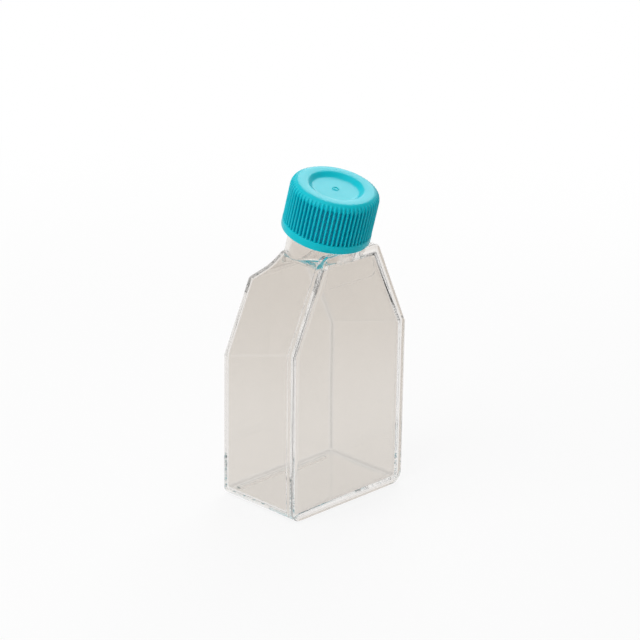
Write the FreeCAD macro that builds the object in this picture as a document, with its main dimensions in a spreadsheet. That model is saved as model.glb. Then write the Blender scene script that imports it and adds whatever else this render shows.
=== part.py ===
import FreeCAD, Part
import math
import os

import Sketcher

# A cell culture flask with a canted neck and a ribbed screw cap, standing on its end wall.
# X is the flask's width, +Y its growth face, -Y its framed cover plate and +Z the way up.
# The flask is three mouldings: a clear tub with its neck, a clear cover plate that is welded
# over the tub's open side, and an opaque cap whose plug closes the neck.
# Lengths are in millimetres and angles in degrees.

SIZES = [
    # The flask as a whole.
    ("flask_depth", 30.1, "growth face to the front of the frame"),
    ("wall", 1.25, "moulded wall of the tub"),
    ("slant", 24.6, "lean of the shoulders from upright"),
    # The cover plate and the frame round it.
    ("frame_width", 46.0, "over the frame"),
    ("frame_height", 77.7, "over the frame"),
    ("shoulder_drop", 26.5, "frame turns in below its top"),
    ("frame_depth", 2.45, "frame, front to weld face"),
    ("frame_step", 0.65, "how far the frame stands proud of the tub"),
    ("frame_corner", 3.9, "radius of the frame's lower corners"),
    ("frame_top_corner", 2.8, "radius of the frame's upper corners"),
    ("frame_shoulder_round", 1.2, "radius of the frame's shoulders"),
    ("frame_edge_round", 0.4, "rounding of the frame's edges"),
    ("rim_width", 1.5, "raised rim round the front"),
    ("rim_slope", 1.4, "slope on the rim's inner side, across its width"),
    ("rim_height", 0.55, "rim above the panel"),
    ("weld_recess", 0.5, "panel's back behind the weld face"),
    ("label_side", 0.57, "marking panel's lower corners in from the frame's upper corners"),
    ("label_drop", 3.3, "marking panel's upper edge below the frame's top"),
    ("label_height", 6.4, "marking panel, lower edge to upper edge"),
    ("label_lean", 13.0, "lean of the marking panel's sides"),
    ("label_corner", 1.3, "radius of its corners"),
    ("label_step", 0.15, "marking panel below the front"),
    # The tub.
    ("top_wall_drop", 2.6, "wall that carries the neck below the frame's top"),
    ("rear_shoulder_drop", 7.7, "growth face turns in below the frame's shoulders"),
    ("ramp_drop", 10.0, "growth face turns into the ramp below the top wall"),
    ("ramp_angle", 37.3, "rise of the ramp from level"),
    ("ramp_run", 5.5, "straight part of the ramp"),
    ("ramp_radius", 24.0, "hollow curve of the ramp up to the neck"),
    ("tub_round", 1.6, "outer rounding of the tub's edges"),
    ("cavity_round", 1.2, "rounding inside the tub"),
    ("foot_width", 34.0, "standing rib under the end wall, along X"),
    ("foot_depth", 1.6, "standing rib, along Y"),
    ("foot_inset", 1.6, "standing rib in from the growth face"),
    # The neck.
    ("neck_tilt", 15.2, "lean of the neck towards the cover plate"),
    ("neck_setback", 12.3, "neck's axis behind the front of the frame, at the top wall"),
    ("neck_radius", 10.4, "outside of the neck"),
    ("bore_radius", 8.9, "inside of the neck"),
    ("neck_root_round", 0.8, "hollow rounding where the neck leaves the tub"),
    ("lip_bevel", 0.4, "bevel round the neck's lip"),
    # The cap.
    ("cap_rise", 6.15, "cap's lower rim from the top wall, along the neck"),
    ("cap_height", 15.0, "lower rim to top"),
    ("cap_radius", 12.95, "over the ribs"),
    ("band_radius", 13.05, "over the plain band at the lower rim"),
    ("band_height", 2.4, "plain band"),
    ("band_bevel", 0.35, "fall of the band's upper edge"),
    ("skirt_bore", 11.4, "inside radius of the skirt"),
    ("cap_top", 1.6, "thickness of the cap's top"),
    ("cap_edge_round", 1.9, "rounding of the cap's top edge"),
    ("rim_bevel", 0.3, "bevel of the cap's lower rim"),
    ("recess_radius", 8.1, "round recess in the top, at its rim"),
    ("recess_floor_radius", 6.8, "round recess in the top, at its floor"),
    ("recess_depth", 1.1, "round recess in the top"),
    ("gate_radius", 1.0, "ring left at the middle of the recess"),
    ("gate_wall", 0.4, "width of that ring"),
    ("gate_height", 0.15, "height of that ring"),
    ("rib_count", 63, "ribs round the cap"),
    ("rib_width", 0.66, "each rib, across"),
    ("rib_height", 0.5, "how far the ribs stand proud of the skirt"),
    ("rib_end", 1.3, "ribs' upper ends from the top"),
    ("rib_tip", 0.7, "slope of a rib's upper end, along the cap"),
    ("plug_length", 5.0, "plug below the underside of the top"),
    ("plug_wall", 1.0, "wall of the plug"),
    ("plug_clearance", 0.2, "plug to bore, on the radius"),
    ("plug_lead", 0.4, "bevel at the plug's end, on the radius"),
    ("plug_lead_length", 0.8, "bevel at the plug's end, along the cap"),
    ("seal_gap", 0.05, "lip to the underside of the cap"),
]

BEYOND = 10.0        # how far a cutting outline runs past what it cuts
SAME = 1e-4          # lengths nearer than this count as equal


class Size:
    """A length or angle of the sheet, or a sum worked out from some, with its expression."""

    def __init__(self, text, value):
        self.text = text
        self.value = value

    def __add__(self, other):
        other = as_size(other)
        return Size(f"({self.text} + {other.text})", self.value + other.value)

    def __sub__(self, other):
        other = as_size(other)
        return Size(f"({self.text} - {other.text})", self.value - other.value)

    def __mul__(self, other):
        other = as_size(other)
        return Size(f"({self.text} * {other.text})", self.value * other.value)

    def __truediv__(self, other):
        other = as_size(other)
        return Size(f"({self.text} / {other.text})", self.value / other.value)

    def __neg__(self):
        return Size(f"(0 - {self.text})", -self.value)


def as_size(number):
    return number if isinstance(number, Size) else Size(str(number), float(number))


def tan(angle):
    return Size(f"tan({angle.text})", math.tan(math.radians(angle.value)))


def sin(angle):
    return Size(f"sin({angle.text})", math.sin(math.radians(angle.value)))


def cos(angle):
    return Size(f"cos({angle.text})", math.cos(math.radians(angle.value)))


def bind(feature, **properties):
    """Set properties from sizes; a double underscore stands for a dot in a property's path."""
    for name, size in properties.items():
        feature.setExpression(name.replace("__", "."), size.text)


def make_sheet(doc):
    """Write the sizes into a sheet and return them by name."""
    sheet = doc.addObject("Spreadsheet::Sheet", "dims")
    sizes = {}
    for row, (name, value, note) in enumerate(SIZES, start=1):
        sheet.set(f"A{row}", name)
        sheet.set(f"B{row}", str(value))
        sheet.set(f"C{row}", note)
        sheet.setAlias(f"B{row}", name)
        sizes[name] = Size(f"dims.{name}", float(value))
    doc.recompute()
    return sizes


def add_places(size):
    """Heights that follow the frame's own, and the neck's place before the middle."""
    size["top_wall_height"] = size["frame_height"] - size["top_wall_drop"]
    size["shoulder_height"] = size["frame_height"] - size["shoulder_drop"]
    size["rear_shoulder_height"] = size["shoulder_height"] - size["rear_shoulder_drop"]
    size["ramp_height"] = size["top_wall_height"] - size["ramp_drop"]
    size["neck_offset"] = size["flask_depth"] / 2 - size["neck_setback"]


def new_body(doc, name):
    return doc.addObject("PartDesign::Body", name)


def origin_feature(body, role):
    return next(item for item in body.Origin.OriginFeatures if item.Role == role)


def new_sketch(body, name, plane, offset=None, shift=None, turn=None):
    """A sketch on one of the body's own planes, moved off it, along it and turned in it."""
    sketch = body.newObject("Sketcher::SketchObject", name)
    sketch.AttachmentSupport = [(origin_feature(body, plane), "")]
    sketch.MapMode = "FlatFace"
    if offset is not None:
        bind(sketch, AttachmentOffset__Base__z=offset)
    if shift is not None:
        bind(sketch, AttachmentOffset__Base__x=shift[0], AttachmentOffset__Base__y=shift[1])
    if turn is not None:
        bind(sketch, AttachmentOffset__Rotation__Angle=turn)
    return sketch


def place_point(sketch, geometry, end, corner):
    """Tie a point of the sketch to its two distances from the sketch's origin.

    A plain 0 puts it on the axis, and None leaves that distance to the outline.
    """
    axes = (("DistanceX", -2), ("DistanceY", -1))
    for (kind, axis), distance in zip(axes, corner):
        if distance is None:
            continue
        if isinstance(distance, Size):
            index = sketch.addConstraint(
                Sketcher.Constraint(kind, -1, 1, geometry, end, distance.value))
            sketch.setExpression(f"Constraints[{index}]", distance.text)
        else:
            sketch.addConstraint(Sketcher.Constraint("PointOnObject", geometry, end, axis))


def draw_outline(sketch, corners):
    """Draw a closed straight-sided outline; a plain 0 puts a corner on the sketch's axis."""
    points = [FreeCAD.Vector(as_size(x).value, as_size(y).value, 0) for x, y in corners]
    first = sketch.GeometryCount
    count = len(corners)
    for index in range(count):
        line = Part.LineSegment(points[index], points[(index + 1) % count])
        sketch.addGeometry(line, False)
    for index in range(count):
        after = first + (index + 1) % count
        sketch.addConstraint(
            Sketcher.Constraint("Coincident", first + index, 2, after, 1))
    for index, corner in enumerate(corners):
        place_point(sketch, first + index, 1, corner)


def add_pad(body, name, sketch, length, symmetric=False):
    pad = body.newObject("PartDesign::Pad", name)
    pad.Profile = sketch
    if symmetric:
        pad.SideType = "Symmetric"
    bind(pad, Length=length)
    return pad


def add_pocket(body, name, sketch, length=None, symmetric=False, reverse=False):
    """Cut a sketch's area away, to a depth, or right through the body both ways."""
    pocket = body.newObject("PartDesign::Pocket", name)
    pocket.Profile = sketch
    pocket.Reversed = reverse
    if symmetric:
        pocket.SideType = "Symmetric"
    if length is None:
        pocket.Type = "ThroughAll"
    else:
        bind(pocket, Length=length)
    return pocket


def add_loft(body, kind, name, start, finish):
    """A straight-sided form between two sketches, to add or to cut."""
    loft = body.newObject(f"PartDesign::{kind}", name)
    loft.Profile = start
    loft.Sections = [finish]
    loft.Ruled = True
    return loft


def add_turned(body, kind, name, sketch):
    """Turn a sketch once about its own upright axis, to add or to cut."""
    turned = body.newObject(f"PartDesign::{kind}", name)
    turned.Profile = sketch
    turned.ReferenceAxis = (sketch, ["V_Axis"])
    turned.Angle = 360
    return turned


def add_fillet(doc, body, name, radius, wanted):
    """Round the edges of the body's last feature that the test picks."""
    doc.recompute()
    base = body.Tip
    names = [f"Edge{number}" for number, edge in enumerate(base.Shape.Edges, start=1)
             if not edge.Degenerated and wanted(edge)]
    fillet = body.newObject("PartDesign::Fillet", name)
    fillet.Base = (base, names)
    bind(fillet, Radius=radius)
    return fillet


def near(value, target):
    return abs(value - target) < SAME


def flat_at(form, axis, level):
    """True where all of an edge or face lies at one level of an axis."""
    box = form.BoundBox
    low = (box.XMin, box.YMin, box.ZMin)[axis]
    high = (box.XMax, box.YMax, box.ZMax)[axis]
    return near(low, level) and near(high, level)


def along_depth(edge):
    """True for a straight edge that runs along Y."""
    direction = edge.tangentAt(edge.FirstParameter)
    return near(abs(direction.y), 1.0)


def is_ring(edge, radius, height):
    """True for a circle of this radius at this height."""
    curve = edge.Curve
    return (isinstance(curve, Part.Circle)
            and near(curve.Radius, radius) and near(curve.Center.z, height))


def edges_of_round_face(shape, radius):
    """The edges of a shape's round faces of this radius."""
    found = []
    for face in shape.Faces:
        if isinstance(face.Surface, Part.Cylinder) and near(face.Surface.Radius, radius):
            found.extend(face.Edges)
    return found


def flask_outline(half_width, bottom, shoulder, top, slant):
    """Corners of the flask's front view: upright sides, then shoulders that lean in."""
    top_half = half_width - (top - shoulder) * tan(slant)
    return [
        (-half_width, bottom), (half_width, bottom), (half_width, shoulder),
        (top_half, top), (-top_half, top), (-half_width, shoulder),
    ]


def inset_shoulder(height, inset, slant):
    """Height of the shoulder on an outline that lies this far inside another."""
    return height - inset * tan(slant / 2)


def draw_ramp(sketch, size, inset):
    """Outline of what the ramp takes off the tub, or off the cavity inside it.

    A straight rise from the growth face runs into a hollow curve. With an inset the whole
    line lies that far inside the outer one, so the wall between them keeps its thickness.
    """
    angle = size["ramp_angle"]
    shortening = inset * (Size("1", 1.0) - sin(angle)) / cos(angle)
    face = size["flask_depth"] / 2 - inset
    start_height = size["ramp_height"] - shortening
    run = size["ramp_run"] - shortening
    bend = (face - run * cos(angle), start_height + run * sin(angle))
    radius = size["ramp_radius"] + inset
    centre = (bend[0] + radius * sin(angle), bend[1] + radius * cos(angle))
    top = centre[1]
    inner = centre[0] - radius
    outer = face + BEYOND

    def point(corner):
        return FreeCAD.Vector(corner[0].value, corner[1].value, 0)

    corners = [(outer, start_height), (face, start_height), bend, (inner, top), (outer, top)]
    turn = math.radians(180 + 90 - angle.value)
    circle = Part.Circle(point(centre), FreeCAD.Vector(0, 0, 1), radius.value)
    sketch.addGeometry(Part.LineSegment(point(corners[0]), point(corners[1])), False)
    sketch.addGeometry(Part.LineSegment(point(corners[1]), point(corners[2])), False)
    sketch.addGeometry(Part.ArcOfCircle(circle, math.pi, turn), False)
    sketch.addGeometry(Part.LineSegment(point(corners[3]), point(corners[4])), False)
    sketch.addGeometry(Part.LineSegment(point(corners[4]), point(corners[0])), False)
    joins = [(0, 2, 1, 1), (1, 2, 2, 2), (2, 1, 3, 1), (3, 2, 4, 1), (4, 2, 0, 1)]
    for join in joins:
        sketch.addConstraint(Sketcher.Constraint("Coincident", *join))
    place_point(sketch, 0, 1, corners[0])
    place_point(sketch, 1, 1, corners[1])
    place_point(sketch, 2, 2, bend)
    place_point(sketch, 2, 3, centre)
    place_point(sketch, 3, 1, (None, top))
    place_point(sketch, 4, 1, corners[4])


def make_shell_form(doc, size, name, inset, corner_round):
    """The tub's outer form, or with an inset the form of the space inside it."""
    body = new_body(doc, name)
    slant = size["slant"]
    half_depth = size["flask_depth"] / 2
    weld_face = half_depth - size["frame_depth"]
    tub_depth = half_depth + weld_face
    half_width = size["frame_width"] / 2 - size["frame_step"] - inset
    bottom = size["frame_step"] + inset
    top = size["top_wall_height"] - inset
    front_shoulder = inset_shoulder(size["shoulder_height"], size["frame_step"], slant)
    fall = (front_shoulder - size["rear_shoulder_height"]) / tub_depth
    rear_shoulder = size["rear_shoulder_height"] + fall * inset
    front = new_sketch(body, "front_outline", "XZ_Plane", offset=weld_face)
    rear = new_sketch(body, "rear_outline", "XZ_Plane", offset=inset - half_depth)
    for sketch, shoulder in ((front, front_shoulder), (rear, rear_shoulder)):
        inner_shoulder = inset_shoulder(shoulder, inset, slant)
        draw_outline(sketch, flask_outline(half_width, bottom, inner_shoulder, top, slant))
    add_loft(body, "AdditiveLoft", "form", front, rear)
    ramp = new_sketch(body, "ramp_outline", "YZ_Plane")
    draw_ramp(ramp, size, inset)
    add_pocket(body, "ramp", ramp, symmetric=True)
    front_y = -weld_face.value
    add_fillet(doc, body, "rounded_edges", corner_round,
               lambda edge: not flat_at(edge, 1, front_y))
    return body


def add_neck(body, size, name, radius, root, length, bevel):
    """A round bar along the neck's axis, from below the top wall to the lip."""
    sketch = new_sketch(
        body, name + "_outline", "YZ_Plane",
        shift=(-size["neck_offset"], size["top_wall_height"]), turn=size["neck_tilt"])
    draw_outline(sketch, [(0, -root), (radius, -root), (radius, length - bevel),
                          (radius - bevel, length), (0, length)])
    return add_turned(body, "Revolution", name, sketch)


def make_tub(doc, size, lip_height):
    """The clear tub: growth face, side walls, ramp, neck and standing rib."""
    zero = Size("0", 0.0)
    root = (size["top_wall_height"] - size["ramp_height"]) / cos(size["neck_tilt"])
    tub = make_shell_form(doc, size, "tub_form", zero, size["tub_round"])
    add_neck(tub, size, "neck", size["neck_radius"], root, lip_height, size["lip_bevel"])
    round_neck_root(doc, tub, size, lip_height)
    clear_weld_face(tub, size)
    add_standing_rib(tub, size)
    cavity = make_shell_form(doc, size, "cavity", size["wall"], size["cavity_round"])
    add_neck(cavity, size, "bore", size["bore_radius"], root, lip_height + size["wall"],
             size["wall"])
    flask = doc.addObject("Part::Cut", "flask_body")
    flask.Base = tub
    flask.Tool = cavity
    return flask


def round_neck_root(doc, body, size, lip_height):
    """Round the hollow where the neck leaves the ramp, the shoulders and the top wall."""
    radius = size["neck_radius"].value
    below_lip = (size["top_wall_height"] + lip_height / 2).value
    doc.recompute()
    borders = edges_of_round_face(body.Tip.Shape, radius)
    add_fillet(doc, body, "neck_root", size["neck_root_round"],
               lambda edge: not isinstance(edge.Curve, Part.Line)
               and edge.BoundBox.ZMax < below_lip
               and any(edge.isSame(border) for border in borders))


def clear_weld_face(body, size):
    """Take away what the neck's round would leave in front of the weld face."""
    sketch = new_sketch(body, "weld_face_outline", "YZ_Plane")
    weld_face = size["frame_depth"] - size["flask_depth"] / 2
    front = weld_face - BEYOND
    top = size["top_wall_height"] - size["wall"]
    bottom = top - BEYOND
    draw_outline(sketch, [(front, bottom), (weld_face, bottom), (weld_face, top), (front, top)])
    return add_pocket(body, "weld_face", sketch, symmetric=True)


def add_standing_rib(body, size):
    """A low rib under the end wall, as deep as the frame's step, so the flask stands."""
    sketch = new_sketch(body, "standing_rib_outline", "XY_Plane")
    half_width = size["foot_width"] / 2
    rear = size["flask_depth"] / 2 - size["foot_inset"]
    front = rear - size["foot_depth"]
    draw_outline(sketch, [
        (-half_width, front), (half_width, front), (half_width, rear), (-half_width, rear)])
    return add_pad(body, "standing_rib", sketch, size["frame_step"] + size["wall"] / 2)


def make_cover_plate(doc, size, lip_height):
    """The clear cover plate: a panel in a raised, sloped frame, with a faint marking panel."""
    body = new_body(doc, "cover_plate")
    slant = size["slant"]
    half_width = size["frame_width"] / 2
    half_depth = size["flask_depth"] / 2
    weld_face = half_depth - size["frame_depth"]
    zero = Size("0", 0.0)

    blank = new_sketch(body, "frame_outline", "XZ_Plane", offset=weld_face)
    draw_outline(blank, flask_outline(
        half_width, zero, size["shoulder_height"], size["frame_height"], slant))
    add_pad(body, "blank", blank, size["frame_depth"])
    bottom = 0.0
    top = size["frame_height"].value
    shoulder = size["shoulder_height"].value
    corners = (("lower_corners", bottom, size["frame_corner"]),
               ("upper_corners", top, size["frame_top_corner"]),
               ("shoulders", shoulder, size["frame_shoulder_round"]))
    for name, level, radius in corners:
        add_fillet(doc, body, name, radius,
                   lambda edge: along_depth(edge) and flat_at(edge, 2, level))

    rim = size["rim_width"]
    slope_foot = rim + size["rim_slope"]
    rings = []
    for name, inset, depth in (("rim", rim, zero), ("panel", slope_foot, size["rim_height"])):
        ring = new_sketch(body, f"{name}_outline", "XZ_Plane", offset=half_depth - depth)
        draw_outline(ring, flask_outline(
            half_width - inset, inset, inset_shoulder(size["shoulder_height"], inset, slant),
            size["frame_height"] - inset, slant))
        rings.append(ring)
    add_loft(body, "SubtractiveLoft", "panel", *rings)
    slope_levels = (
        ("panel_lower_corners", rim, slope_foot, size["frame_corner"] - rim),
        ("panel_upper_corners", size["frame_height"] - slope_foot,
         size["frame_height"] - rim, size["frame_top_corner"] - rim))
    for name, low, high, radius in slope_levels:
        add_fillet(doc, body, name, radius,
                   lambda edge: near(edge.BoundBox.YLength, size["rim_height"].value)
                   and near(edge.BoundBox.ZMin, low.value)
                   and near(edge.BoundBox.ZMax, high.value))

    doc.recompute()
    front_face = -half_depth.value
    rim_face = next(face for face in body.Tip.Shape.Faces if flat_at(face, 1, front_face))
    outer_edges = rim_face.OuterWire.Edges
    add_fillet(doc, body, "frame_edges", size["frame_edge_round"],
               lambda edge: any(edge.isSame(outer) for outer in outer_edges))

    inset = size["frame_step"] + size["wall"]
    weld = new_sketch(body, "weld_outline", "XZ_Plane", offset=weld_face)
    draw_outline(weld, flask_outline(
        half_width - inset, inset, inset_shoulder(size["shoulder_height"], inset, slant),
        size["top_wall_height"] - size["wall"], slant))
    add_pocket(body, "weld_recess", weld, size["weld_recess"], reverse=True)

    label = new_sketch(body, "label_outline", "XZ_Plane",
                       offset=half_depth - size["rim_height"])
    label_top = size["frame_height"] - size["label_drop"]
    label_bottom = label_top - size["label_height"]
    shoulder_run = (size["frame_height"] - size["shoulder_height"]) * tan(slant)
    low = half_width - shoulder_run - size["label_side"]
    high = low - size["label_height"] * tan(size["label_lean"])
    draw_outline(label, [
        (-low, label_bottom), (low, label_bottom), (high, label_top), (-high, label_top)])
    add_pocket(body, "label", label, size["label_step"])
    label_levels = (label_bottom.value, label_top.value)
    add_fillet(doc, body, "label_corners", size["label_corner"],
               lambda edge: along_depth(edge)
               and any(flat_at(edge, 2, level) for level in label_levels))

    notch = new_sketch(
        body, "neck_notch_outline", "YZ_Plane",
        shift=(-size["neck_offset"], size["top_wall_height"]), turn=size["neck_tilt"])
    draw_outline(notch, [(0, 0), (size["neck_radius"], 0),
                         (size["neck_radius"], lip_height), (0, lip_height)])
    add_turned(body, "Groove", "neck_notch", notch)
    return body


def make_cap(doc, size):
    """The cap, about its own axis, with its lower rim at the origin of its own frame."""
    body = new_body(doc, "cap")
    top = size["cap_height"]
    underside = top - size["cap_top"]
    recess = size["recess_depth"]
    plug_outer = size["bore_radius"] - size["plug_clearance"]
    plug_inner = plug_outer - size["plug_wall"]
    plug_end = underside - size["plug_length"]
    skirt_radius = size["cap_radius"] - size["rib_height"]
    band_edge = size["band_height"] - size["band_bevel"]
    profile = new_sketch(body, "profile", "XZ_Plane")
    draw_outline(profile, [
        (0, underside - recess),
        (plug_inner, underside - recess),
        (plug_inner, plug_end),
        (plug_outer - size["plug_lead"], plug_end),
        (plug_outer, plug_end + size["plug_lead_length"]),
        (plug_outer, underside),
        (size["skirt_bore"], underside),
        (size["skirt_bore"], 0),
        (size["band_radius"] - size["rim_bevel"], 0),
        (size["band_radius"], size["rim_bevel"]),
        (size["band_radius"], band_edge),
        (skirt_radius, size["band_height"]),
        (skirt_radius, top),
        (size["recess_radius"], top),
        (size["recess_floor_radius"], top - recess),
        (0, top - recess),
    ])
    add_turned(body, "Revolution", "turned_form", profile)
    add_fillet(doc, body, "top_edge", size["cap_edge_round"],
               lambda edge: is_ring(edge, skirt_radius.value, top.value))

    rib_outline = new_sketch(body, "rib_outline", "YZ_Plane")
    root = skirt_radius - size["rib_height"]
    high = top - size["rib_end"]
    draw_outline(rib_outline, [
        (-root, band_edge), (-size["cap_radius"], band_edge),
        (-size["cap_radius"], high - size["rib_tip"]), (-skirt_radius, high), (-root, high)])
    rib = add_pad(body, "rib", rib_outline, size["rib_width"], symmetric=True)
    doc.recompute()
    ring = body.newObject("PartDesign::PolarPattern", "ribs")
    ring.Originals = [rib]
    ring.Axis = (origin_feature(body, "Z_Axis"), [""])
    ring.Angle = 360
    bind(ring, Occurrences=size["rib_count"])
    body.Tip = ring

    doc.recompute()
    gate = new_sketch(body, "gate_outline", "XY_Plane", offset=top - recess)
    draw_ring(gate, size["gate_radius"], size["gate_radius"] - size["gate_wall"])
    add_pad(body, "gate_ring", gate, size["gate_height"])
    return body


def draw_ring(sketch, outer, inner):
    """Two circles about the sketch's origin."""
    for radius in (outer, inner):
        circle = Part.Circle(FreeCAD.Vector(0, 0, 0), FreeCAD.Vector(0, 0, 1), radius.value)
        index = sketch.addGeometry(circle, False)
        sketch.addConstraint(Sketcher.Constraint("Coincident", index, 3, -1, 1))
        bound = sketch.addConstraint(Sketcher.Constraint("Radius", index, radius.value))
        sketch.setExpression(f"Constraints[{bound}]", radius.text)


def place(feature, y, z=None, tilt=None):
    """Put a sub-part in the flask's frame, leaning towards -Y by the tilt."""
    if tilt is not None:
        lean = FreeCAD.Rotation(FreeCAD.Vector(1, 0, 0), tilt.value)
        feature.Placement = FreeCAD.Placement(FreeCAD.Vector(0, 0, 0), lean)
        bind(feature, Placement__Rotation__Angle=tilt)
    bind(feature, Placement__Base__y=y)
    if z is not None:
        bind(feature, Placement__Base__z=z)


def check(doc, parts):
    """Stop before anything is written if a feature failed or a solid isn't sound."""
    for item in doc.Objects:
        if "Invalid" in item.State or "Error" in item.State:
            raise RuntimeError(f"{item.Name} failed: {item.State}")
    for part in parts:
        shape = part.Shape
        if shape.isNull() or not shape.isValid() or len(shape.Solids) != 1:
            raise RuntimeError(f"{part.Label} is not one sound solid")


def main():
    doc = FreeCAD.newDocument("culture_flask")
    size = make_sheet(doc)
    add_places(size)
    tilt = size["neck_tilt"]
    lip_height = size["cap_rise"] + size["cap_height"] - size["cap_top"] - size["seal_gap"]
    flask = make_tub(doc, size, lip_height)
    plate = make_cover_plate(doc, size, lip_height)
    cap = make_cap(doc, size)

    # The origin is under the middle of the whole flask, from the cap's foremost rib to
    # the growth face, so the flask's own middle lies a little way along +Y.
    rib_reach = size["cap_rise"] + size["cap_height"] - size["rib_end"] - size["rib_tip"]
    cap_reach = (size["neck_offset"] + rib_reach * sin(tilt)
                 + size["cap_radius"] * cos(tilt))
    middle = (cap_reach - size["flask_depth"] / 2) / 2
    place(flask, middle)
    place(plate, middle)
    place(cap, middle - size["neck_offset"] - size["cap_rise"] * sin(tilt),
          size["top_wall_height"] + size["cap_rise"] * cos(tilt), tilt)
    doc.recompute()

    parts = [flask, plate, cap]
    check(doc, parts)
    os.makedirs("parts", exist_ok=True)
    for part in parts:
        part.Shape.exportStep(f"parts/{part.Label}.step")
        box = part.Shape.optimalBoundingBox(False, False)
        print(f"{part.Label}: {part.Shape.Volume / 1000:.2f} cm3, "
              f"X {box.XMin:.2f}..{box.XMax:.2f}, Y {box.YMin:.2f}..{box.YMax:.2f}, "
              f"Z {box.ZMin:.2f}..{box.ZMax:.2f}")


main()
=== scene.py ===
import math

import bmesh
import bpy
from mathutils import Matrix, Vector


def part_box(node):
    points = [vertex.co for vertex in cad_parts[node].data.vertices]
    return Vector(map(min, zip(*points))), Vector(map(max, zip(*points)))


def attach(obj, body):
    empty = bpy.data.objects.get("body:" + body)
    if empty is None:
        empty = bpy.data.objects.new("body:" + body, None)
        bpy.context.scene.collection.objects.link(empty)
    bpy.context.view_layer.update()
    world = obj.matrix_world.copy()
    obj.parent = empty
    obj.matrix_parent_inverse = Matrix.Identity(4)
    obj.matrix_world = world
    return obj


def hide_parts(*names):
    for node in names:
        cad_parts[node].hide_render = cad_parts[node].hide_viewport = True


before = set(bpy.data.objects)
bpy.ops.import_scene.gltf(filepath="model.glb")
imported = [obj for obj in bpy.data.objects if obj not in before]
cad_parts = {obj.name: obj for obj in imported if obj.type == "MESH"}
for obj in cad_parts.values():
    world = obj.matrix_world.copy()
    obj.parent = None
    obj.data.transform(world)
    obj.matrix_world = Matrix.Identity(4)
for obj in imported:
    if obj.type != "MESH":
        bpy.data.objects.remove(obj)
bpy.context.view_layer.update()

# A small clear culture flask with a ribbed turquoise cap. Lengths are in metres.
MM = 0.001
SAME_POINT = 0.001 * MM              # points closer than this are merged

# The flask and its neck.
FLASK_DEPTH = 30.1 * MM              # growth face to the front of the frame
FRAME_DEPTH = 2.45 * MM              # the cover plate's frame, front to rear
WALL = 1.25 * MM                     # thickness of the tub's walls
NECK_TILT = math.radians(15.2)       # lean of the neck towards the cover plate
NECK_SETBACK = 12.3 * MM             # neck's axis behind the front of the frame, at the top wall
TOP_WALL_DROP = 2.6 * MM             # wall that carries the neck, below the frame's top
NECK_RADIUS = 10.4 * MM
CROWN_DEPTH = 14.0 * MM              # ramp up to the neck, below the top wall
CAP_RISE = 6.15 * MM                 # cap's lower rim from the top wall, along the neck
FLASK_CREASE = math.radians(30.0)    # edges sharper than this are left crisp

# What counts as one of the flask's flat walls, which get the painted grey, and not as one of its clearer
# edges.
WALL_AREA = 115.0 * MM * MM          # least area of a wall
WALL_STEP = 0.1 * MM                 # faces this near to one plane are the same wall
SIDE_LEAST = 0.9                     # least x in the direction that a side wall faces
SIDE_DRAFT = 0.2                     # most y in that direction
FOLD_SHARE = 0.7                     # how far the soft folds in the side walls count as wall

# The neck's thread, under the cap.
THREAD_PITCH = 3.0 * MM
THREAD_TURNS = 1.5
THREAD_START = CAP_RISE + THREAD_PITCH
THREAD_HEIGHT = 0.55 * MM            # a little short of the cap's own thread
THREAD_FOOT = 1.5 * MM               # width where it leaves the neck
THREAD_CREST = 0.6 * MM
THREAD_ROOT = 0.25 * MM              # how far it reaches into the neck's wall
THREAD_FADE = 0.06                   # share of its length in which an end tapers
THREAD_END = 0.15                    # size of its section at the very end, as a share
THREAD_STEPS = 96                    # straight runs in a turn
THREAD_MARGIN = 0.1 * MM             # faces farther out than this from the neck are the thread's

# The cap's outside, from its lower rim up.
CAP_HEIGHT = 15.0 * MM
CAP_CREASE = math.radians(32.0)
BAND_RADIUS = 13.02 * MM             # plain band under the ribs
BAND_HEIGHT = 2.4 * MM
BAND_ROUND = 0.3 * MM
GROOVE_RADIUS = 12.0 * MM            # bottom of the grooves between the ribs
GROOVE_FOOT = 0.4 * MM               # rounding between a groove and the band
RIB_COUNT = 63
RIB_HEIGHT = 0.95 * MM
RIB_SHARE = 0.66                     # a rib's width as a share of the room it has
STEPS_PER_RIB = 12
RIB_TOP = 14.5 * MM                  # where the ribs run out
RIB_TIP = 2.0 * MM                   # length of a rib's rounded tip
RIB_TIP_RADIUS = 11.8 * MM           # where a tip sinks into the rounded top edge
SKIRT_RADIUS = 12.45 * MM            # foot of the rounded top edge
SKIRT_STEP = 0.6 * MM                # height in which the skirt draws in from there to the grooves
TOP_ROUND = 1.9 * MM
RECESS_RADIUS = 8.1 * MM
RECESS_FLOOR_RADIUS = 6.8 * MM
RECESS_DEPTH = 1.1 * MM
RECESS_ROUND = 0.3 * MM
GATE_RADIUS = 1.0 * MM               # low ring that moulding leaves in the middle of the recess
GATE_WALL = 0.4 * MM

# The cap's inside.
CAP_TOP = 1.6 * MM                   # thickness of the top
SKIRT_BORE = 11.4 * MM
BORE_BEVEL = 0.3 * MM
BORE_STEPS = 28                      # rows of points that the thread is raised on
PLUG_RADIUS = 8.7 * MM
PLUG_BORE = 7.7 * MM
PLUG_LENGTH = 5.0 * MM
PLUG_BEVEL = 0.4 * MM                # how far the plug narrows to its end
PLUG_BEVEL_LENGTH = 0.8 * MM
CAP_THREAD_LOW = 1.0 * MM            # where the cap's own thread starts
CAP_THREAD_HIGH = 8.5 * MM
CAP_THREAD_FADE = 1.0 * MM           # length in which each end of it rises
CAP_THREAD_HEIGHT = 0.4 * MM
CAP_THREAD_CREST = 0.12              # half its crest's width, as a share of the pitch
CAP_THREAD_FOOT = 0.32               # half its foot's width, as a share of the pitch
INSIDE_MARGIN = 0.1 * MM             # how far the inside's painted glow reaches past the rim and the ceiling

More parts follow.
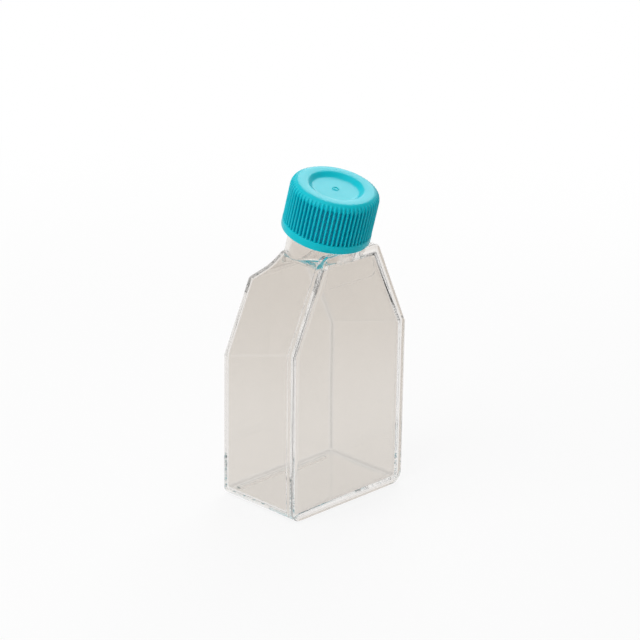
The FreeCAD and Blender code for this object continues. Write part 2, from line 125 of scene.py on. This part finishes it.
FRAME_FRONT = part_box("flask_body")[1].y - FLASK_DEPTH
FRAME_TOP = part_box("cover_plate")[1].z
NECK_AXIS = Vector((0.0, -math.sin(NECK_TILT), math.cos(NECK_TILT)))
NECK_FOOT = Vector((0.0, FRAME_FRONT + NECK_SETBACK, FRAME_TOP - TOP_WALL_DROP))
CAP_FOOT = NECK_FOOT + NECK_AXIS * CAP_RISE


# Node trees, written as sums.

class Wire:
    """An output socket. Python's own operators add the Math nodes of a sum."""

    def __init__(self, tree, socket):
        self.tree = tree
        self.socket = socket

    def math(self, operation, *values):
        return self.tree.node("ShaderNodeMath", {"operation": operation}, dict(enumerate(values)))

    def __add__(self, other):
        return self.math("ADD", self, other)

    def __radd__(self, other):
        return self.math("ADD", other, self)

    def __sub__(self, other):
        return self.math("SUBTRACT", self, other)

    def __rsub__(self, other):
        return self.math("SUBTRACT", other, self)

    def __mul__(self, other):
        return self.math("MULTIPLY", self, other)

    def __rmul__(self, other):
        return self.math("MULTIPLY", other, self)

    def __truediv__(self, other):
        return self.math("DIVIDE", self, other)

    def __mod__(self, other):
        return self.math("FLOORED_MODULO", self, other)

    def __pow__(self, other):
        return self.math("POWER", self, other)

    def __abs__(self):
        return self.math("ABSOLUTE", self)

    def floor(self):
        return self.math("FLOOR", self)

    def sine(self):
        return self.math("SINE", self)

    def cosine(self):
        return self.math("COSINE", self)

    def at_least(self, other):
        return self.math("MAXIMUM", self, other)

    def at_most(self, other):
        return self.math("MINIMUM", self, other)

    def part(self, axis):
        """The X, Y or Z of a vector."""
        return self.tree.node("ShaderNodeSeparateXYZ", {}, {"Vector": self}, axis)

    def ramp(self, low, high):
        """0 at low, 1 at high, smooth between and level beyond."""
        return self.tree.node("ShaderNodeMapRange", {"interpolation_type": "SMOOTHSTEP"},
                              {"Value": self, "From Min": low, "From Max": high})


class Tree:
    """A node tree, with one method that adds any node."""

    def __init__(self, graph):
        self.graph = graph

    def node(self, kind, settings=None, values=None, output=0):
        """Add a node and give back one of its outputs, or the node if it has none."""
        node = self.graph.nodes.new(kind)
        for name, setting in (settings or {}).items():
            setattr(node, name, setting)
        for name, value in (values or {}).items():
            socket = node.inputs[name]
            if isinstance(value, Wire):
                self.graph.links.new(value.socket, socket)
            else:
                socket.default_value = value
        return Wire(self, node.outputs[output]) if node.outputs else node

    def place(self):
        """The piece's own coordinates."""
        return self.node("ShaderNodeTexCoord", output="Object")

    def mark(self, name):
        """A mark from 0 to 1 that the piece's mesh carries."""
        return self.node("ShaderNodeAttribute", {"attribute_name": name}, {}, "Fac")

    def noise(self, scale, detail):
        """Noise from 0 to 1. Scale is in waves a metre."""
        return self.node("ShaderNodeTexNoise", {}, {
            "Vector": self.place(), "Scale": scale, "Detail": detail})

    def relief(self, height, strength, distance):
        """A normal that shades a height from 0 to 1 as relief, this distance deep."""
        return self.node("ShaderNodeBump", {}, {
            "Height": height, "Strength": strength, "Distance": distance})

    def blend(self, share, low, high):
        """One colour where share is 0, the other where it is 1."""
        # A Mix node takes its two colours at 6 and 7 and gives their blend at 2.
        return self.node("ShaderNodeMix", {"data_type": "RGBA"}, {"Factor": share, 6: low, 7: high}, 2)


def new_material(name):
    """An empty node material."""
    material = bpy.data.materials.new(name)
    material.use_nodes = True
    material.node_tree.nodes.clear()
    return material, Tree(material.node_tree)


# Finishes. A colour is its red, green and blue, and a 1 for solid.

EDGE_TINT = (0.89, 0.875, 0.86, 1.0)
# Painted grey for the clear walls, standing in for a grey backdrop seen through them, lighter low down as
# a painted reflection.
LOW_WALL_PAINTED_GREY = (0.855, 0.83, 0.80, 1.0)
HIGH_WALL_PAINTED_GREY = (0.79, 0.755, 0.715, 1.0)
# Painted shade for the rounded corners inside the tub and the flanks of the neck's thread.
CORNER_PAINTED_SHADE = (0.56, 0.54, 0.52, 1.0)
PAINTED_GREY_LOW = 20.0 * MM                 # up to this height the walls have their lighter painted grey
PAINTED_GREY_HIGH = 70.0 * MM                # from this height they have their darker painted grey
PAINTED_GREY_BY_HEIGHT = 0.85                # share of the painted grey that follows the height, not the haze
TURQUOISE = (0.0, 0.51, 0.60, 1.0)
PALER_TURQUOISE = (0.0, 0.55, 0.645, 1.0)
# Painted shade, darker and bluer, in the grooves between the ribs.
GROOVE_PAINTED_SHADE = (0.0, 0.38, 0.53, 1.0)
NO_GLOW = (0.0, 0.0, 0.0, 1.0)
INSIDE_PAINTED_GLOW = (0.0, 0.36, 0.44, 1.0)    # painted glow for the light that comes through the cap's thin plastic


def make_clear_plastic():
    """Clear moulded polystyrene with slow waves: the walls' warm grey is painted, standing in for a grey
    backdrop seen through them, and lighter low down as a painted reflection; edges are clearer and corners
    have painted shade.
    """
    material, tree = new_material("clear_plastic")
    waves = tree.noise(scale=45.0, detail=1.0)
    haze = tree.noise(scale=160.0, detail=3.0)
    height = tree.place().part("Z").ramp(PAINTED_GREY_LOW, PAINTED_GREY_HIGH)
    # Painted grey on the walls, lighter low down as a painted reflection, with a little random haze.
    walls = tree.blend(height * PAINTED_GREY_BY_HEIGHT + haze * (1.0 - PAINTED_GREY_BY_HEIGHT),
                       LOW_WALL_PAINTED_GREY, HIGH_WALL_PAINTED_GREY)
    clear = tree.blend(tree.mark("wall"), EDGE_TINT, walls)
    surface = tree.node("ShaderNodeBsdfPrincipled", {}, {
        # Painted shade in the tub's corners and on the thread's flanks.
        "Base Color": tree.blend(tree.mark("corner"), clear, CORNER_PAINTED_SHADE),
        "Roughness": haze * 0.03 + 0.01,
        "IOR": 1.59,
        "Transmission Weight": 1.0,
        "Normal": tree.relief(waves, strength=1.0, distance=0.05 * MM)})
    tree.node("ShaderNodeOutputMaterial", {}, {"Surface": surface})
    return material


def make_cap_plastic():
    """Turquoise moulded cap: satin and faintly clouded, with painted shade in the grooves and a painted
    glow on the inside.
    """
    material, tree = new_material("cap_plastic")
    cloud = tree.noise(scale=220.0, detail=2.0)
    grain = tree.noise(scale=5200.0, detail=2.0)
    skin = tree.blend(cloud, TURQUOISE, PALER_TURQUOISE)
    surface = tree.node("ShaderNodeBsdfPrincipled", {}, {
        # Painted shade in the grooves.
        "Base Color": tree.blend(tree.mark("groove"), skin, GROOVE_PAINTED_SHADE),
        "Roughness": grain * 0.08 + 0.26,
        "IOR": 1.5,
        "Specular IOR Level": 0.15,
        # Painted glow on the cap's inside, though it is no lamp.
        "Emission Color": tree.blend(tree.mark("inside"), NO_GLOW, INSIDE_PAINTED_GLOW),
        "Emission Strength": 1.0,
        "Normal": tree.relief(grain, strength=0.5, distance=0.012 * MM)})
    tree.node("ShaderNodeOutputMaterial", {}, {"Surface": surface})
    return material


CLEAR_PLASTIC = make_clear_plastic()
CAP_PLASTIC = make_cap_plastic()


# Meshes.

def new_object(name, data):
    """An object in the scene that shows a mesh, a lamp or a camera."""
    obj = bpy.data.objects.new(name, data)
    bpy.context.scene.collection.objects.link(obj)
    return obj


def plain_mesh(obj):
    """Give an object the mesh that its modifiers make, and take the modifiers off."""
    evaluated = obj.evaluated_get(bpy.context.evaluated_depsgraph_get())
    mesh = bpy.data.meshes.new_from_object(evaluated)
    obj.modifiers.clear()
    obj.data = mesh


def merged_copy(node):
    """A copy of a CAD node with its loose triangles joined into one skin."""
    skin = bmesh.new()
    skin.from_mesh(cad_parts[node].data)
    bmesh.ops.remove_doubles(skin, verts=skin.verts, dist=SAME_POINT)
    skin.verts.ensure_lookup_table()
    mesh = bpy.data.meshes.new(node + "_copy")
    mesh.from_pydata([v.co[:] for v in skin.verts], [], [[v.index for v in f.verts] for f in skin.faces])
    skin.free()
    return new_object(node + "_copy", mesh)


def outward(obj):
    """Turn every face of a closed skin outwards."""
    skin = bmesh.new()
    skin.from_mesh(obj.data)
    bmesh.ops.recalc_face_normals(skin, faces=skin.faces)
    skin.to_mesh(obj.data)
    skin.free()


def shade(obj, crease):
    """Smooth shading that keeps flat walls flat, with edges sharper than crease left crisp."""
    obj.data.shade_smooth()
    obj.data.set_sharp_from_angle(angle=crease)
    weigh = obj.modifiers.new("weigh", "WEIGHTED_NORMAL")
    weigh.mode = "FACE_AREA"
    weigh.keep_sharp = True
    plain_mesh(obj)


def finish_piece(obj, name, body, slot, material, *nodes):
    """Name a piece, set it on its body and let it stand for its CAD nodes."""
    obj.name = name
    obj.data.name = name
    obj.data.materials.clear()
    obj.data.materials.append(material)
    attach(obj, body)
    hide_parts(*nodes)


# Geometry node trees. Each makes a form that stands on the neck.

def new_form(name, inputs):
    """A tree that takes a mesh, the inputs given as name: type, and its place on the neck."""
    group = bpy.data.node_groups.new(name, "GeometryNodeTree")
    group.interface.new_socket("Geometry", in_out="INPUT", socket_type="NodeSocketGeometry")
    group.interface.new_socket("Geometry", in_out="OUTPUT", socket_type="NodeSocketGeometry")
    for title, kind in {**inputs, "Tilt": "Float", "Place": "Vector", "Material": "Material"}.items():
        group.interface.new_socket(title, in_out="INPUT", socket_type="NodeSocket" + kind)
    tree = Tree(group)
    start = tree.node("NodeGroupInput")
    return tree, {s.name: Wire(tree, s) for s in start.socket.node.outputs}


def end_form(tree, geometry, given):
    """Stand the form in its place, and close its tree with Realize Instances and Set Material."""
    tilt = tree.node("ShaderNodeCombineXYZ", {}, {"X": given["Tilt"]})
    stood = tree.node("GeometryNodeTransform", {}, {
        "Geometry": geometry, "Translation": given["Place"], "Rotation": tilt})
    real = tree.node("GeometryNodeRealizeInstances", {}, {"Geometry": stood})
    dressed = tree.node("GeometryNodeSetMaterial", {}, {"Geometry": real, "Material": given["Material"]})
    tree.node("NodeGroupOutput", {}, {"Geometry": dressed})


def run_form(obj, tree, inputs):
    """Run a tree on an object with its inputs set, and keep the plain mesh with its faces outwards."""
    modifier = obj.modifiers.new("form", "NODES")
    modifier.node_group = tree.graph
    for item in tree.graph.interface.items_tree:
        if item.in_out == "INPUT" and item.name in inputs:
            modifier[item.identifier] = inputs[item.name]
    plain_mesh(obj)
    outward(obj)


# The cap: its section, and the tree that turns the section round.

def arc(centre_r, centre_z, radius, start, end, count):
    """Points of an arc in a turned outline, with its angles in degrees."""
    angles = [math.radians(start + (end - start) * i / (count - 1)) for i in range(count)]
    return [(centre_r + radius * math.cos(a), centre_z + radius * math.sin(a)) for a in angles]


def stretch(start, end, count):
    """Points spaced evenly along a straight run, its two ends left out."""
    shares = [i / (count + 1) for i in range(1, count + 1)]
    return [(start[0] + (end[0] - start[0]) * s, start[1] + (end[1] - start[1]) * s) for s in shares]


def ease(share):
    """A share from 0 to 1, made to start and end gently."""
    return share * share * (3.0 - 2.0 * share)


def sweep(start, end, count):
    """Points of an easy S from one level to another, its two ends included."""
    shares = [i / (count - 1) for i in range(count)]
    return [(start[0] + (end[0] - start[0]) * s, start[1] + (end[1] - start[1]) * ease(s)) for s in shares]


def cap_outside():
    """The cap's section from the middle of its top down to its lower rim."""
    floor = CAP_HEIGHT - RECESS_DEPTH
    groove_foot = BAND_HEIGHT + GROOVE_FOOT
    points = [(0.0, floor)]
    points += arc(GATE_RADIUS - GATE_WALL / 2, floor, GATE_WALL / 2, 180, 0, 5)
    # Two more rings on the recess floor keep its smooth shading flat.
    points += [(GATE_RADIUS + GATE_WALL, floor), (RECESS_FLOOR_RADIUS - 3 * RECESS_ROUND, floor)]
    points += sweep((RECESS_FLOOR_RADIUS - RECESS_ROUND, floor),
                    (RECESS_RADIUS + RECESS_ROUND, CAP_HEIGHT), 9)
    points += arc(SKIRT_RADIUS - TOP_ROUND, CAP_HEIGHT - TOP_ROUND, TOP_ROUND, 90, 0, 14)
    points += [(GROOVE_RADIUS, CAP_HEIGHT - TOP_ROUND - SKIRT_STEP)]
    points += stretch(points[-1], (GROOVE_RADIUS, groove_foot), 3)
    points += arc(GROOVE_RADIUS + GROOVE_FOOT, groove_foot, GROOVE_FOOT, 180, 270, 5)
    points += [(BAND_RADIUS - BAND_ROUND, BAND_HEIGHT)]
    points += arc(BAND_RADIUS - BAND_ROUND, BAND_HEIGHT - BAND_ROUND, BAND_ROUND, 60, 0, 3)
    points += arc(BAND_RADIUS - BAND_ROUND, BAND_ROUND, BAND_ROUND, 0, -90, 5)
    return points


def cap_inside():
    """The cap's section from its lower rim up the bore, round the plug and in to the middle."""
    ceiling = CAP_HEIGHT - CAP_TOP
    plug_end = ceiling - PLUG_LENGTH
    under_recess = ceiling - RECESS_DEPTH
    points = [(SKIRT_BORE + BORE_BEVEL, 0.0), (SKIRT_BORE, BORE_BEVEL)]
    points += stretch(points[-1], (SKIRT_BORE, ceiling), BORE_STEPS)
    points += [(SKIRT_BORE, ceiling), (PLUG_RADIUS, ceiling)]
    points += [(PLUG_RADIUS, plug_end + PLUG_BEVEL_LENGTH), (PLUG_RADIUS - PLUG_BEVEL, plug_end)]
    points += [(PLUG_BORE, plug_end), (PLUG_BORE, under_recess), (0.0, under_recess)]
    return points


def between(value, low, high):
    """0 below low, 1 above high and smooth between, as a plain number."""
    return ease(min(1.0, max(0.0, (value - low) / (high - low))))


def rib_weight(r, z):
    """1 along the ribs, rounding off to 0 at their tips and gone everywhere else."""
    if not BAND_HEIGHT < z < RIB_TOP or r < RIB_TIP_RADIUS:
        return 0.0
    past = max(0.0, z - (RIB_TOP - RIB_TIP)) / RIB_TIP
    fall = GROOVE_RADIUS + RIB_HEIGHT - RIB_TIP_RADIUS
    crest = RIB_TIP_RADIUS + fall * math.sqrt(1.0 - past * past)
    return max(0.0, crest - r) / RIB_HEIGHT


def thread_weight(r, z):
    """1 on the part of the bore that carries the cap's own thread."""
    if abs(r - SKIRT_BORE) > SAME_POINT:
        return 0.0
    low_end = between(z, CAP_THREAD_LOW, CAP_THREAD_LOW + CAP_THREAD_FADE)
    return low_end * (1.0 - between(z, CAP_THREAD_HIGH - CAP_THREAD_FADE, CAP_THREAD_HIGH))


def painted_glow_weight(r, z):
    """1 on the underside of the rim and on everything inside the cap, where the painted glow goes."""
    under_ceiling = r < RIB_TIP_RADIUS and z < CAP_HEIGHT - CAP_TOP + INSIDE_MARGIN
    return float(z < INSIDE_MARGIN or under_ceiling)


def outline_object(name, points, weights):
    """A bare row of points (r, 0, z), with named weights for each point."""
    mesh = bpy.data.meshes.new(name)
    mesh.from_pydata([(r, 0.0, z) for r, z in points], [], [])
    for title, rule in weights.items():
        weight = mesh.attributes.new(title, "FLOAT", "POINT")
        for item, point in zip(weight.data, points):
            item.value = rule(*point)
    return new_object(name, mesh)


def turned_form():
    """Tree that turns an outline round its axis and raises ribs outside and a thread inside."""
    tree, given = new_form("turned_cap", {
        "Ribs": "Int", "Steps per Rib": "Int", "Rib Share": "Float", "Rib Height": "Float",
        "Thread Pitch": "Float", "Thread Height": "Float"})

    # The skin starts as a grid, in which each step round the cap is the whole outline.
    outline = given["Geometry"]
    count = tree.node("GeometryNodeAttributeDomainSize", {"component": "MESH"}, {"Geometry": outline})
    steps = given["Ribs"] * given["Steps per Rib"]
    skin = tree.node("GeometryNodeMeshGrid", {}, {"Vertices X": steps + 1.0, "Vertices Y": count})
    index = tree.node("GeometryNodeInputIndex")
    step = ((index + 0.5) / count).floor()
    row = index - step * count

    def of_outline(value, kind):
        return tree.node("GeometryNodeSampleIndex", {"data_type": kind, "domain": "POINT"},
                         {"Geometry": outline, "Value": value, "Index": row})

    def weight(title):
        named = tree.node("GeometryNodeInputNamedAttribute", {"data_type": "FLOAT"}, {"Name": title})
        return of_outline(named, "FLOAT")

    def marked(geometry, title, value):
        return tree.node("GeometryNodeStoreNamedAttribute", {"data_type": "FLOAT", "domain": "POINT"},
                         {"Geometry": geometry, "Name": title, "Value": value})

    # Ribs and thread follow from the way round, and the weights keep each to its own rows.
    point = of_outline(tree.node("GeometryNodeInputPosition"), "FLOAT_VECTOR")
    way_round = step / steps
    angle = way_round * (2.0 * math.pi)
    off_crest = abs((step / given["Steps per Rib"]) % 1.0 - 0.5) * 2.0 / given["Rib Share"]
    rib = (1.0 - off_crest * off_crest).at_least(0.0) ** 0.5
    turn = (point.part("Z") / given["Thread Pitch"] - way_round) % 1.0
    thread = 1.0 - abs(turn - 0.5).ramp(CAP_THREAD_CREST, CAP_THREAD_FOOT)
    ribbed = weight("rib")
    radius = point.part("X") + rib * ribbed * given["Rib Height"]
    radius = radius - thread * weight("thread") * given["Thread Height"]
    place = tree.node("ShaderNodeCombineXYZ", {}, {
        "X": radius * angle.cosine(), "Y": radius * angle.sine(), "Z": point.part("Z")})
    turned = tree.node("GeometryNodeSetPosition", {}, {"Geometry": skin, "Position": place})
    # The grooves' mark sets where their painted shade goes.
    turned = marked(turned, "groove", (1.0 - rib) * ribbed.at_most(1.0))
    # The inside's mark sets where the painted glow goes.
    turned = marked(turned, "inside", weight("inside"))
    closed = tree.node("GeometryNodeMergeByDistance", {}, {"Geometry": turned, "Distance": SAME_POINT})
    end_form(tree, closed, given)
    return tree


def make_cap():
    """The cap: ribbed skirt, plain band, dished top with its gate mark, thread and plug inside."""
    cap = outline_object("cap", cap_outside() + cap_inside(), {
        "rib": rib_weight, "thread": thread_weight, "inside": painted_glow_weight})
    run_form(cap, turned_form(), {
        "Ribs": RIB_COUNT, "Steps per Rib": STEPS_PER_RIB, "Rib Share": RIB_SHARE,
        "Rib Height": RIB_HEIGHT, "Thread Pitch": THREAD_PITCH, "Thread Height": CAP_THREAD_HEIGHT,
        "Tilt": NECK_TILT, "Place": CAP_FOOT, "Material": CAP_PLASTIC})
    shade(cap, CAP_CREASE)
    finish_piece(cap, "screw_cap", "cap", "cap_plastic", CAP_PLASTIC, "cap")


# The flask: the CAD tub and cover plate, welded together and to the neck's thread.

def thread_form():
    """Tree that sweeps the thread's section along its helix."""
    tree, given = new_form("neck_thread", {"Radius": "Float", "Pitch": "Float", "Turns": "Float"})
    helix = tree.node("GeometryNodeCurveSpiral", {}, {
        "Resolution": THREAD_STEPS, "Rotations": given["Turns"], "Start Radius": given["Radius"],
        "End Radius": given["Radius"], "Height": given["Pitch"] * given["Turns"]})
    upright = tree.node("GeometryNodeSetCurveNormal", {"mode": "Z_UP"}, {"Curve": helix})
    along = tree.node("GeometryNodeSplineParameter")
    ends = along.ramp(0.0, THREAD_FADE) * (1.0 - along.ramp(1.0 - THREAD_FADE, 1.0))
    tapered = tree.node("GeometryNodeSetCurveRadius", {}, {
        "Curve": upright, "Radius": ends * (1.0 - THREAD_END) + THREAD_END})
    section = tree.node("GeometryNodeMeshToCurve", {}, {"Mesh": given["Geometry"]})
    ridge = tree.node("GeometryNodeCurveToMesh", {}, {
        "Curve": tapered, "Profile Curve": section, "Fill Caps": True})
    end_form(tree, ridge, given)
    return tree


def make_thread():
    """The neck's thread: a low trapezoid ridge that tapers at both ends."""
    # In the section, x runs towards the neck's axis and y along it.
    half_foot, half_crest = THREAD_FOOT / 2, THREAD_CREST / 2
    corners = [(THREAD_ROOT, -half_foot), (0.0, -half_foot), (-THREAD_HEIGHT, -half_crest),
               (-THREAD_HEIGHT, half_crest), (0.0, half_foot), (THREAD_ROOT, half_foot)]
    section = bpy.data.meshes.new("thread_section")
    section.from_pydata([(x, y, 0.0) for x, y in corners],
                        [(i, (i + 1) % len(corners)) for i in range(len(corners))], [])
    thread = new_object("thread", section)
    run_form(thread, thread_form(), {
        "Radius": NECK_RADIUS, "Pitch": THREAD_PITCH, "Turns": THREAD_TURNS, "Tilt": NECK_TILT,
        "Place": NECK_FOOT + NECK_AXIS * THREAD_START, "Material": CLEAR_PLASTIC})
    return thread


def corner_painted_shade(face):
    """How much painted shade a face gets, by how far it is into a rounded corner of the tub's rear or
    floor: 1 half way round it.
    """
    sideways = max(0.0, -face.normal.x * math.copysign(1.0, face.center.x))
    forwards = max(0.0, -face.normal.y) if face.center.y > 0.0 else 0.0
    turn = max(sideways * forwards, max(sideways, forwards) * max(0.0, face.normal.z))
    return (2.0 * turn) ** 2


def thread_flank_painted_shade(face):
    """How steep a face of the neck's thread is, which sets its painted shade, and 0 for a face of anything
    else.
    """
    from_foot = face.center - NECK_FOOT
    rise = from_foot.dot(NECK_AXIS)
    off_neck = (from_foot - NECK_AXIS * rise).length - NECK_RADIUS
    if rise > CAP_RISE and THREAD_MARGIN < off_neck < THREAD_HEIGHT:
        return abs(face.normal.dot(NECK_AXIS))
    return 0.0


def mark_painted_shade(mesh):
    """Mark the faces that get painted shade: the corners inside the tub and the flanks of the thread."""
    mark = mesh.attributes.new("corner", "FLOAT", "FACE")
    for face, item in zip(mesh.polygons, mark.data):
        in_tub = face.center.z < NECK_FOOT.z - WALL
        item.value = corner_painted_shade(face) if in_tub else thread_flank_painted_shade(face)


def mark_walls(mesh):
    """Mark the faces that lie in a wide flat wall or round the neck. Rims and edges are left."""
    crown = NECK_FOOT.z - CROWN_DEPTH
    planes = [(round(face.normal.x, 2), round(face.normal.y, 2), round(face.normal.z, 2),
               round(face.normal.dot(face.center) / WALL_STEP)) for face in mesh.polygons]
    areas = dict.fromkeys(planes, 0.0)
    for face, plane in zip(mesh.polygons, planes):
        areas[plane] += face.area
    # Faces marked as wall get the painted grey. The rest keep the clearer edge colour.
    mark = mesh.attributes.new("wall", "FLOAT", "FACE")
    for face, item, plane in zip(mesh.polygons, mark.data, planes):
        fold = abs(plane[0]) > SIDE_LEAST and abs(plane[1]) < SIDE_DRAFT
        neck = face.center.z > crown and face.center.y > FRAME_FRONT + FRAME_DEPTH
        item.value = max(float(areas[plane] > WALL_AREA or neck), FOLD_SHARE * fold)


def make_flask():
    """Tub, cover plate and neck thread as the one clear shell that they are once welded."""
    shell = merged_copy("flask_body")
    for part in (merged_copy("cover_plate"), make_thread()):
        weld = shell.modifiers.new("weld", "BOOLEAN")
        weld.operation = "UNION"
        weld.solver = "EXACT"
        weld.object = part
        plain_mesh(shell)
        bpy.data.objects.remove(part)
    mark_painted_shade(shell.data)
    mark_walls(shell.data)
    shade(shell, FLASK_CREASE)
    finish_piece(shell, "clear_flask", "flask", "clear_plastic", CLEAR_PLASTIC,
                 "flask_body", "cover_plate")


make_cap()
make_flask()


# Floor, light and camera.

AIM = Vector((1.906, 1.89, 52.65)) * MM    # what the camera and the lamps point at
FLOOR_SIZE = 1.6
FLOOR_DROP = 0.02 * MM               # keeps the floor just off the flask's foot
FLOOR_COLOUR = (0.8, 0.8, 0.8, 1.0)
FLOOR_WHITENESS = 0.86               # share of the floor's look that no shadow darkens
FLOOR_FADE_START = 0.16
FLOOR_FADE_END = 0.4                 # from here out the floor is as white as the sky
WHITE = (1.0, 1.0, 1.0, 1.0)
SKY_LIGHT = 0.38                     # strength of the sky as light; to look at, it is white
LIGHT_BOUNCES = 44                   # enough for light that runs along inside a clear edge
CAMERA_AZIMUTH = math.radians(-45.44)
CAMERA_ELEVATION = math.radians(19.85)
CAMERA_ROLL = math.radians(0.84)
CAMERA_DISTANCE = 0.7316
CAMERA_LENS = 141.68


def seen_ray(tree):
    """1 for the rays that show a background: straight ones, and those off or through a surface."""
    rays = tree.node("ShaderNodeLightPath").socket.node.outputs
    straight, glossy, through = (Wire(tree, rays[name]) for name in (
        "Is Camera Ray", "Is Glossy Ray", "Is Transmission Ray"))
    return (straight + glossy + through).at_most(1.0)


def make_floor():
    """A plain pale floor that fades into the white round it."""
    material, tree = new_material("floor")
    away = tree.node("ShaderNodeVectorMath", {"operation": "LENGTH"}, {"Vector": tree.place()}, "Value")
    fade = away.ramp(FLOOR_FADE_START, FLOOR_FADE_END)
    whiteness = FLOOR_WHITENESS + (1.0 - FLOOR_WHITENESS) * fade
    pale = tree.node("ShaderNodeBsdfDiffuse", {}, {"Color": FLOOR_COLOUR})
    white = tree.node("ShaderNodeEmission", {}, {"Color": WHITE, "Strength": 1.0})
    surface = tree.node("ShaderNodeMixShader", {}, {0: seen_ray(tree) * whiteness, 1: pale, 2: white})
    tree.node("ShaderNodeOutputMaterial", {}, {"Surface": surface})
    mesh = bpy.data.meshes.new("floor")
    half = FLOOR_SIZE / 2
    corners = [(-half, -half), (half, -half), (half, half), (-half, half)]
    mesh.from_pydata([(x, y, -FLOOR_DROP) for x, y in corners], [], [(0, 1, 2, 3)])
    mesh.materials.append(material)
    new_object("floor", mesh)


def make_world():
    """A sky that is white to look at and gives a soft, weaker light."""
    world = bpy.data.worlds.new("studio")
    world.use_nodes = True
    world.node_tree.nodes.clear()
    tree = Tree(world.node_tree)
    strength = SKY_LIGHT + seen_ray(tree) * (1.0 - SKY_LIGHT)
    sky = tree.node("ShaderNodeBackground", {}, {"Color": WHITE, "Strength": strength})
    tree.node("ShaderNodeOutputWorld", {}, {"Surface": sky})
    bpy.context.scene.world = world


def make_softbox(name, direction, distance, side, watts):
    """A square lamp that looks at the object from a direction, and isn't seen through the flask."""
    lamp = bpy.data.lights.new(name, "AREA")
    lamp.shape = "SQUARE"
    lamp.size = side
    lamp.energy = watts
    holder = new_object(name, lamp)
    away = Vector(direction).normalized()
    holder.location = AIM + away * distance
    holder.rotation_euler = away.to_track_quat("Z", "Y").to_euler()
    holder.visible_transmission = False


def make_camera():
    """A long lens, looking a little down on the flask's front corner."""
    camera = bpy.data.cameras.new("camera")
    camera.lens = CAMERA_LENS
    holder = new_object("camera", camera)
    back = Vector((math.sin(CAMERA_AZIMUTH) * math.cos(CAMERA_ELEVATION),
                   -math.cos(CAMERA_AZIMUTH) * math.cos(CAMERA_ELEVATION),
                   math.sin(CAMERA_ELEVATION)))
    turn = (-back).to_track_quat("-Z", "Y").to_matrix() @ Matrix.Rotation(CAMERA_ROLL, 3, "Z")
    holder.matrix_world = Matrix.Translation(AIM + back * CAMERA_DISTANCE) @ turn.to_4x4()
    bpy.context.scene.camera = holder


make_floor()
make_world()
make_softbox("left_softbox", (-0.77, 0.07, 0.64), distance=0.6, side=0.5, watts=2.1)
make_softbox("overhead_softbox", (0.0, 0.0, 1.0), distance=0.8, side=0.6, watts=0.9)
make_softbox("back_softbox", (0.67, 0.40, 0.625), distance=0.6, side=0.35, watts=1.5)
make_camera()
bpy.context.scene.view_settings.view_transform = "Standard"
for bounces in ("max_bounces", "transmission_bounces", "glossy_bounces"):
    setattr(bpy.context.scene.cycles, bounces, LIGHT_BOUNCES)
